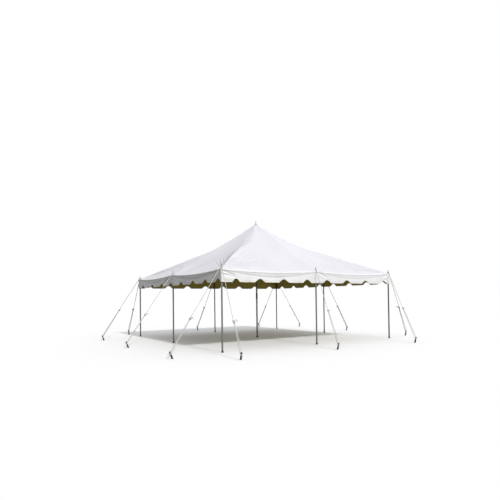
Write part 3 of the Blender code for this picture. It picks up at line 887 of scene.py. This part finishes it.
def make_hem():
    """The binding folded over the scalloped edge."""
    sections, lengths, run = [], [], 0.0
    t = flap_places()
    step = t[1] - t[0]
    for side in range(4):
        total, ahead, behind = (flap_depth(side, at) for at in (t, t + step / 2, t - step / 2))
        for i in range(len(t)):
            one, bottom = t[i:i + 1], total[i:i + 1]
            slope = math.atan2(behind[i] - ahead[i], step)
            high = bottom - HEM_WIDTH * math.cos(slope)
            shift = -HEM_WIDTH * math.sin(slope)
            section = []
            for drop, proud, move in ((high, 0.0012, shift), (bottom + 0.001, 0.0016, 0.0),
                                      (bottom + 0.001, -0.0034, 0.0), (high, -0.0030, shift)):
                place = np.clip(one + move, -CANOPY_HALF, CANOPY_HALF)
                level = drop + eave_height(place) - eave_height(one)
                section.append(flap_point(side, place, level, proud)[0])
            run += float(np.linalg.norm(section[1] - sections[-1][1])) if sections else 0
            lengths.append(run)
            sections.append(section)
    return swept("hem_binding", sections, HEM_TAPE, lengths)


# The eave band's upper part: distance in from the edge, and height over the cloth.
BAND_TOP = [(0.042, 0.0019), (0.031, 0.0021), (0.018, 0.0021), (0.004, 0.0016)]
# Its lower part on the valance: distance down from the eave, and how proud it is.
BAND_FRONT = [(0.029, 0.0010), (0.029, -0.0005), (0.012, -0.0005)]
BAND_UNDER = -0.0006


def make_eave_band():
    """The doubled band along the roof's edge, folded over on to the valance."""
    sections, lengths, run = [], [], 0.0
    t = flap_places()
    edge = CANOPY_HALF + 0.001
    for side in range(4):
        front = [flap_point(side, t, np.full_like(t, drop), proud) for drop, proud in BAND_FRONT]
        for i, place in enumerate(t):
            roof = []
            for inset in [0.0, *(inset for inset, _ in BAND_TOP)]:
                x, y = side_point(side, place * (1 - inset / CANOPY_HALF), CANOPY_HALF - inset)
                roof.append((x, y, on_cloth(x * JUST_INSIDE, y * JUST_INSIDE)))
            edge_z, roof = roof[0][2], roof[1:]
            corner = abs(place) > CANOPY_HALF - 1e-6
            x, y = side_point(side, place * (edge / CANOPY_HALF if corner else 1), edge)
            sections.append([
                *((rx, ry, z + lift) for (rx, ry, z), (_, lift) in zip(roof, BAND_TOP)),
                (x, y, edge_z - 0.001), (*side_point(side, place, edge + 0.0005), edge_z - 0.026),
                front[0][i], front[1][i], front[2][i], (x * 0.999, y * 0.999, edge_z - 0.002),
                *((rx, ry, z + BAND_UNDER) for rx, ry, z in roof[::-1]),
            ])
            lengths.append(run)
            run += t[1] - t[0]
    return swept("eave_band", sections, EAVE_TAPE, lengths)


HEM = make_hem()
EAVE_BAND = make_eave_band()


# Reinforcements, rings and straps

def patch(centre, reach, start, sweep, steps=40):
    """A doubled patch that lies on the canopy, round a point and cut off at the eave."""
    rings, hole, limit = 14, 0.006, CANOPY_HALF - 0.001
    closed = sweep == math.tau
    columns = steps if closed else steps + 1
    verts = []
    for ring in range(rings + 1):
        for step in range(columns):
            turn = start + sweep * step / steps
            wobble = 1.0 + 0.012 * math.sin(5 * turn)
            radius = hole + (reach * wobble - hole) * min(ring / (rings - 1), 1.0)
            x = max(-limit, min(limit, centre[0] + radius * math.cos(turn)))
            y = max(-limit, min(limit, centre[1] + radius * math.sin(turn)))
            verts.append((x, y, on_cloth(x, y) + (PATCH_LIFT if ring < rings else -0.0010)))
    return verts, grid_faces(rings + 1, columns, wrap=closed)


def make_patches():
    shapes = []
    for name, (side_x, side_y) in DIRECTIONS.items():
        reach, sweep = (0.34, math.pi / 2) if name in CORNERS else (0.24, math.pi)
        inward = math.atan2(-side_y, -side_x)
        shapes.append(patch((side_x * CANOPY_HALF, side_y * CANOPY_HALF), reach, inward - sweep / 2, sweep))
    shapes.append(patch((0.0, 0.0), 0.30, 0.0, math.tau, steps=96))
    patches = add_mesh("reinforcement_patches", *merge(*shapes), [ROOF_VINYL], "canopy", sharp=40)
    thick = patches.modifiers.new("Thickness", "SOLIDIFY")
    thick.thickness = 0.0009
    thick.offset = -1.0
    return patches


def make_grommets():
    inner, outer, height = 0.0105, 0.0205, 0.0028
    bevel = height * 0.45
    profile = [
        (inner, height - bevel), (inner + bevel, height), (outer - 2 * bevel, height),
        (outer, height * 0.3), (outer, -0.001), (inner, -0.001), (inner, height - bevel),
    ]
    shapes = []
    for x, y in POLES.values():
        shapes.append(turned(profile, 28, standing((x, y, on_cloth(x, y) + PATCH_LIFT), cloth_normal(x, y))))
    add_mesh("grommets", *merge(*shapes), [ZINC], "pole", sharp=35)


def make_crown_plate():
    """The pressed washer on the peak, round the centre pole's spike."""
    bore, bend, edge, rim = 0.0108, 0.045, 0.060, 0.064
    profile = [(bore, PEAK_HEIGHT + 0.004), (0.016, PEAK_HEIGHT + 0.006), (0.024, PEAK_HEIGHT + 0.001)]
    profile += [(radius, on_cloth(radius, 0.0) + lift)
                for radius, lift in ((bend, 0.006), (edge, 0.004), (rim, 0.001), (edge, -0.001))]
    profile += [(bore, PEAK_HEIGHT - 0.004), (bore, PEAK_HEIGHT + 0.004)]
    add_mesh("crown_washer", *turned(profile, 36), [ZINC], "pole", sharp=35)


def add_tapes(name, tapes, section, material, sharp):
    """Flat tapes that follow the cloth. Each has distances along it, a function that gives a place from the
    distance and the share across, and whether it is mirrored. The section has shares across and lifts."""
    shapes, uvs = [], []
    for runs, place, mirrored in tapes:
        points = []
        for run in runs:
            for across, lift in section:
                x, y = place(run, across)
                points.append((x, y, on_cloth(x, y) + lift))
                uvs.append((run, across))
        shapes.append((points, tube_faces(len(runs), len(section), flip=mirrored)))
    return add_mesh(name, *merge(*shapes), [material], "canopy", sharp=sharp, uvs=uvs)


def make_straps():
    """Webbing sewn under the cloth from the crown to each pole."""
    def strap(x, y):
        length = math.hypot(x, y)

        def place(run, across):
            aside = across * STRAP_HALF
            return (x * run - y * aside) / length, (y * run + x * aside) / length
        return np.linspace(0.09, length - 0.14, 151), place, False

    section = [(across, -SKIN - 0.0002) for across in (1, 0, -1)]
    section += [(across, -SKIN - STRAP_SKIN) for across in (-1, 0, 1)]
    return add_tapes("webbing_straps", [strap(*pole) for pole in POLES.values()], section, WEBBING, sharp=40)


def make_hip_seams():
    """The felled seam along each hip, from the crown's patch to the corner's."""
    def seam(name, side_x, side_y):
        length = POLE_HALF * math.sqrt(2)

        def place(run, across):
            aside = np.interp(run, *CREST_SHIFT) * CREST_SHARE[name] + across * SEAM_HALF
            return ((length - run + aside) / math.sqrt(2) * side_x,
                    (length - run - aside) / math.sqrt(2) * side_y)
        return np.linspace(0.24, length - 0.27, 190), place, side_x * side_y > 0

    section = [(-1, 0.0006), (-0.9, 0.0017), (0, 0.0020), (0.9, 0.0017), (1, 0.0006), (0, -0.0008)]
    seams = [seam(name, *direction) for name, direction in CORNERS.items()]
    return add_tapes("hip_seams", seams, section, SEAM_TAPE, sharp=50)


PATCHES = make_patches()
HIP_SEAMS = make_hip_seams()
make_grommets()
make_crown_plate()
STRAPS = make_straps()


# Poles

def rivets(profile, segments, centre, turn, reach):
    """A head on each side of a tube."""
    return [turned(profile, segments, Matrix.Translation(centre) @ Matrix.Rotation(turn + half, 4, "Z")
                   @ Matrix.Translation((reach, 0, 0)) @ Matrix.Rotation(math.pi / 2, 4, "Y"))
            for half in (0, math.pi)]


def make_side_pole(name):
    x, y = POLES[name]
    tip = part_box(f"{name}_pole")[1].z
    top = min(on_cloth(x + TUBE_RADIUS * math.cos(a), y + TUBE_RADIUS * math.sin(a))
              for a in (0, 1.57, 3.14, 4.71)) - CLOTH - GAP
    profile = [
        (0, tip), (0.0035, tip - 0.0006), (0.0062, tip - 0.0025), (PIN_RADIUS, tip - 0.006),
        (PIN_RADIUS, top + 0.002), (0.0095, top + 0.0005), (0.0150, top), (0.0185, top - 0.0008),
        (TUBE_RADIUS, top - 0.004), (TUBE_RADIUS, top - 0.030),
        # A groove under the end of the tube.
        (TUBE_RADIUS - 0.0007, top - 0.032), (TUBE_RADIUS - 0.0007, top - 0.036), (TUBE_RADIUS, top - 0.038),
        *((TUBE_RADIUS, height) for height in (1.60, 1.20, 0.80, 0.40, SOCKET_HEIGHT + 0.004)),
        (SOCKET_RADIUS - 0.002, SOCKET_HEIGHT + 0.001), (SOCKET_RADIUS, SOCKET_HEIGHT - 0.003),
        (SOCKET_RADIUS, FOOT_PLATE + 0.008), (SOCKET_RADIUS + 0.003, FOOT_PLATE + 0.002),
        (FOOT_RADIUS - 0.001, FOOT_PLATE), (FOOT_RADIUS, FOOT_PLATE - 0.0015), (FOOT_RADIUS, 0.0008),
        (FOOT_RADIUS - 0.001, 0), (0, 0),
    ]
    # A rivet through the tube near its top holds the pin's plug.
    head = [(0, 0.0026), (0.0028, 0.0022), (0.0046, 0.0008), (0.0048, -0.002), (0, -0.002)]
    shape = merge(turned(profile, 36, Matrix.Translation((x, y, 0))),
                  *rivets(head, 14, (x, y, top - 0.075), math.atan2(-y, -x) + 0.6, TUBE_RADIUS - 0.0006))
    pole = add_mesh(f"{name}_tube", *shape, [SHADE_PAINTED_TUBE if name in SHADE_PAINTED_POLES else TUBE], "pole", sharp=32)
    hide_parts(f"{name}_pole")


def make_centre_pole():
    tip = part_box("centre_pole_upper")[1].z
    hole, shoulder = (on_cloth(r, 0) - CLOTH - GAP for r in (CROWN_HOLE, CENTRE_RADIUS))
    upper = [
        (0, tip), (0.0045, tip - 0.001), (0.008, tip - 0.004), (CENTRE_PIN_RADIUS, tip - 0.009),
        (CENTRE_PIN_RADIUS, hole + 0.001), (CROWN_HOLE, hole), (CENTRE_RADIUS - 0.001, shoulder + 0.0006),
        *((CENTRE_RADIUS, height) for height in (shoulder - 0.001, 3.2, 2.6, 2.0, JOINT_HEIGHT + 0.0002)),
        (0, JOINT_HEIGHT + 0.0002),
    ]
    lower = [
        (0, JOINT_HEIGHT - 0.0002),
        *((CENTRE_RADIUS, height) for height in (JOINT_HEIGHT - 0.0002, 0.9, 0.45, SOCKET_HEIGHT + 0.005)),
        (CENTRE_SOCKET - 0.002, SOCKET_HEIGHT + 0.001), (CENTRE_SOCKET, SOCKET_HEIGHT - 0.003),
        (CENTRE_SOCKET, FOOT_PLATE + 0.010), (CENTRE_SOCKET + 0.004, FOOT_PLATE + 0.002),
        (CENTRE_FOOT - 0.0015, FOOT_PLATE), (CENTRE_FOOT, FOOT_PLATE - 0.002), (CENTRE_FOOT, 0.001),
        (CENTRE_FOOT - 0.001, 0), (0, 0),
    ]
    for name, profile in (("upper", upper), ("lower", lower)):
        piece = add_mesh(f"centre_tube_{name}", *turned(profile, 40), [CENTRE_TUBE], "pole", sharp=32)
        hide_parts(f"centre_pole_{name}")


def make_sleeve():
    """The ribbed coupling sleeve, held by two screws near each end."""
    top, bottom = JOINT_HEIGHT + COUPLER_LENGTH / 2, JOINT_HEIGHT - COUPLER_LENGTH / 2
    bore, wall, edge = CENTRE_RADIUS + GAP, COUPLER_RADIUS - 0.0022, COUPLER_RADIUS - 0.003
    rib = [(wall, 0.006), (COUPLER_RADIUS, 0.004), (COUPLER_RADIUS, -0.004), (wall, -0.006)]
    ribs = [(radius, top - COUPLER_LENGTH * share + lift)
            for share in (0.10, 0.5, 0.90) for radius, lift in rib]
    profile = [(bore, top), (edge, top), (wall, top - 0.001), *ribs, (wall, bottom + 0.001), (edge, bottom),
               (bore, bottom), (bore, top)]
    head = [(0, 0.0034), (0.0042, 0.0034), (0.0052, 0.0024), (0.0052, -0.002), (0, -0.002)]
    screws = [screw for z in (top - 0.045, bottom + 0.045) for screw in rivets(head, 6, (0, 0, z), 0.9, edge)]
    sleeve = add_mesh("centre_sleeve", *merge(turned(profile, 40), *screws), [COUPLER], "coupler", sharp=30)
    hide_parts("centre_pole_coupler")


for pole_name in POLES:
    make_side_pole(pole_name)
make_centre_pole()
make_sleeve()


# Stakes and ropes

def stake_frame(name):
    """A stake's foot, the way up along it, the foot of its pole, and the way from there to the stake."""
    pole = Vector((*POLES[name.removesuffix("_a").removesuffix("_b")], 0))
    foot = Vector((*STAKES[name], 0))
    away = (foot - pole).normalized()
    return foot, away * math.sin(STAKE_LEAN) + UP * math.cos(STAKE_LEAN), pole, away


def make_stake(name):
    foot, axis, *_ = stake_frame(name)
    top, stout = STAKE_LENGTH, 0.0205
    profile = [
        (0, top), (0.012, top - 0.0008), (STAKE_HEAD - 0.003, top - 0.002), (STAKE_HEAD, top - 0.006),
        (STAKE_HEAD, top - 0.011), (STAKE_HEAD - 0.003, top - 0.0155), (STAKE_RADIUS + 0.001, top - 0.018),
        (STAKE_RADIUS, top - 0.022), (STAKE_RADIUS, 0.12), (STAKE_RADIUS, 0.096),
        # The stout lower part that shows black in the photo.
        (0.018, 0.094), (stout, 0.090), (stout, 0.05), (stout, 0.012), (stout, -0.010), (0, -0.010),
    ]
    verts, faces = turned(profile, 28, standing(foot, axis))
    # The shaft is cut off level at the ground.
    verts = [v if v.z > 0 else v - axis * (v.z / axis.z) for v in verts]
    stake = add_mesh(f"stake_{name}_bar", verts, faces, [STAKE_STEEL], "stake", sharp=32)
    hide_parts(f"stake_{name}")


def round_point(centre, first, second, wide, deep, turn):
    """A point of an ellipse: its two directions, its half widths along them and the turn from the first."""
    return centre + first * (wide * math.cos(turn)) + second * (deep * math.sin(turn))


def rope_points(name, slider):
    """The rope's path: its eye on the pin, over the eave, round the stake and back up to the knot."""
    foot, axis, pin, away = stake_frame(name)
    neck = foot + axis * STAKE_NECK
    side = Vector((-away.y, away.x, 0))
    clear = PIN_RADIUS + 2 * ROPE_RADIUS + GAP
    under = (pin + Vector((clear * math.cos(a), clear * math.sin(a), 0)) for a in np.linspace(0, 6, 13))
    height = max(on_cloth(p.x, p.y) for p in under) + ROPE_RADIUS + 0.003 + name.endswith("_b") * BESIDE
    reach = PIN_RADIUS + ROPE_RADIUS + GAP
    eye = []
    for step in range(31):
        turn = math.pi / 2 + math.radians(250) * (1 - step / 30)
        eye.append(pin + (away * math.cos(turn) + side * math.sin(turn)) * reach + UP * height)
    eye.append(eye[-1] + away * (reach + ROPE_RADIUS))
    run = min((CANOPY_HALF - abs(at)) / abs(step) for at, step in zip(pin.xy, away.xy)
              if at * step > 0 and abs(at) > 0.05)
    drop = math.atan2(EAVE_HEIGHT - neck.z, (neck - pin).xy.length - 0.05)
    edge = pin + away * (run - 0.0003)
    edge.z = on_cloth(edge.x * JUST_INSIDE, edge.y * JUST_INSIDE) + 0.0015
    bend = ROPE_RADIUS + 0.001
    over = [round_point(edge, UP, away, bend, bend, drop * step / 6) for step in range(7)]
    up = (over[-1] - neck).normalized()
    lateral = up.cross(UP).normalized()
    around = STAKE_RADIUS + ROPE_RADIUS + GAP
    long_axis = around / math.sqrt(1 - up.dot(axis) ** 2)
    loop = [round_point(neck, -up, lateral, long_axis, around, math.pi * (step / 24 - 0.5))
            for step in range(25)]
    knot = over[-1].lerp(loop[0], slider)
    return [*eye, *over, knot, *loop, knot + lateral * BESIDE], knot, up, lateral


def knot_path(knot, up, lateral, turns, tail, seed):
    """Turns of the rope's end round its two parts, and the loose tail."""
    draw = random.Random(seed)
    out = lateral.cross(up)
    centre = knot + lateral * (ROPE_RADIUS + 0.0003) - up * 0.004
    wide, deep = 3 * ROPE_RADIUS + 0.0006, 2 * ROPE_RADIUS + 0.0004
    points = []
    for step in range(turns * TURN_STEPS + 1):
        share = step / TURN_STEPS
        rise = up * (share * (2 * ROPE_RADIUS + 0.0008))
        points.append(round_point(centre + rise, lateral, out, wide, deep, math.tau * share))
    tail += draw.uniform(0, 0.03)
    aim = (lateral * draw.uniform(0.5, 1.0) + up * draw.uniform(-0.2, 0.5)).normalized()
    end = points[-1]
    for step in range(1, 13):
        share = step / 12
        ahead = aim * (tail * share * (1 - 0.35 * share))
        points.append(end + ahead - UP * (0.5 * tail * share ** 2) + out * (0.012 * math.sin(share * 3.0)))
    return points


def wrap_path(foot, axis):
    """Two close turns of rope round a stake, just below its neck."""
    first = axis.orthogonal().normalized()
    second = axis.cross(first)
    radius, low, pitch = STAKE_RADIUS + KNOT_ROPE, STAKE_NECK - 0.026, 0.0125
    shares = (step / TURN_STEPS for step in range(2 * TURN_STEPS + 1))
    return [round_point(foot + axis * (low + pitch * share), first, second, radius, radius, math.tau * share)
            for share in shares]


def make_rope(name, seed):
    """The rope with its knot, and the turns that hold its loop on the stake."""
    turns, tail = (4, 0.10) if name in KNOTS_SEEN else (2, 0.02)
    points, knot, up, lateral = rope_points(name, KNOTS_SEEN.get(name, SLIDER_SHARE))
    foot, axis, *_ = stake_frame(name)
    shape = merge(laid_rope(points, ROPE_RADIUS),
                  laid_rope(knot_path(knot, up, lateral, turns, tail, seed), KNOT_ROPE),
                  laid_rope(wrap_path(foot, axis), KNOT_ROPE))
    rope = add_mesh(f"guy_{name}", *shape, [SHADE_PAINTED_ROPES.get(name, ROPE)], "rope")
    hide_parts(f"rope_{name}")


for index, stake_name in enumerate(STAKES):
    make_stake(stake_name)
    make_rope(stake_name, index)


# Floor, light and camera

FLOOR_HALF = 400.0
SKY_LOW, SKY_HIGH = 0.11, 0.80  # strength at the horizon and overhead
SIDE_SHADE = 0.42  # share by which the left is darker and the right lighter
PHOTO_PIXELS, FOCAL_PIXELS, SHIFT_PIXELS = 500, 439.5, 40
CAMERA_PLACE = (-8.160, -12.323, 1.283)
CAMERA_YAW, CAMERA_PITCH, CAMERA_ROLL = 32.643, 1.177, -0.695


def make_floor():
    nodes = Finish("pale_floor")
    tone = nodes.cloud(0.25, 3.0, 0.3, 0.7, (0.93, 0.95))
    # The light that the floor throws back on the tent is that of turf, as in the photo.
    seen = nodes.add("LightPath").outputs["Is Camera Ray"]
    nodes.set(color=nodes.mix(seen, (0.20, 0.21, 0.18), tone), roughness=0.9, emission_color=(1, 1, 1, 1),
              emission_strength=nodes.times(seen, 0.08))
    mesh = bpy.data.meshes.new("floor")
    corners = [(x * FLOOR_HALF, y * FLOOR_HALF, 0) for x, y in CORNERS.values()]
    mesh.from_pydata(corners, [], [(0, 1, 2, 3)])
    mesh.materials.append(nodes.material)
    floor = add_object("floor", mesh)


def make_world():
    """A white studio to look at. What it sheds on the tent fades towards the horizon and the left."""
    world = bpy.data.worlds.new("studio")
    bpy.context.scene.world = world
    world.use_nodes = True
    world.node_tree.nodes.clear()
    nodes = Nodes(world.node_tree)
    way = nodes.add("SeparateXYZ", Vector=nodes.places["Generated"]).outputs
    strength = nodes.times(nodes.span(way["Z"], 0.0, 1.0, SKY_LOW, SKY_HIGH),
                           nodes.span(way["X"], -1.0, 1.0, 1 - SIDE_SHADE, 1 + SIDE_SHADE))
    lit = nodes.add("Background", Color=(0.95, 0.96, 1.0, 1), Strength=strength)
    seen = nodes.add("Background", Color=(1, 1, 1, 1))
    rays = nodes.add("LightPath").outputs
    mix = nodes.add("MixShader", Fac=nodes.math("MAXIMUM", rays["Is Camera Ray"], rays["Is Glossy Ray"]))
    nodes.feed(mix.inputs[1], lit.outputs[0])
    nodes.feed(mix.inputs[2], seen.outputs[0])
    nodes.add("OutputWorld", Surface=mix.outputs[0])


def make_sun(name, azimuth, elevation, strength, angle, colour):
    """A far soft light. Azimuth 0 is in front of the tent and 90 to its right."""
    lamp = bpy.data.lights.new(name, "SUN")
    lamp.energy, lamp.angle, lamp.color = strength, math.radians(angle), colour
    a, e = math.radians(azimuth), math.radians(elevation)
    towards = Vector((math.sin(a) * math.cos(e), -math.cos(a) * math.cos(e), math.sin(e)))
    add_object(name, lamp).rotation_euler = towards.to_track_quat("Z", "Y").to_euler()


def make_camera():
    yaw, pitch, roll = (math.radians(a) for a in (CAMERA_YAW, CAMERA_PITCH, CAMERA_ROLL))
    forward = Vector((math.cos(pitch) * math.sin(yaw), math.cos(pitch) * math.cos(yaw), math.sin(pitch)))
    level = Vector((math.cos(yaw), -math.sin(yaw), 0))
    upright = level.cross(forward)
    right = level * math.cos(roll) + upright * math.sin(roll)
    top = upright * math.cos(roll) - level * math.sin(roll)
    data = bpy.data.cameras.new("camera")
    data.sensor_width = 36.0
    data.lens = data.sensor_width * FOCAL_PIXELS / PHOTO_PIXELS
    data.shift_y = SHIFT_PIXELS / PHOTO_PIXELS
    data.clip_end = 2000
    camera = add_object("camera", data)
    turn = Matrix((right, top, -forward)).transposed().to_4x4()
    camera.matrix_world = Matrix.Translation(CAMERA_PLACE) @ turn
    bpy.context.scene.camera = camera


make_floor()
make_world()
make_sun("key", 0, 38, 2.11, 6, (1.0, 0.99, 0.97))
make_sun("front_fill", 8, 14, 0.33, 20, (1.0, 0.99, 0.98))
make_camera()
bpy.context.scene.view_settings.view_transform = "Standard"
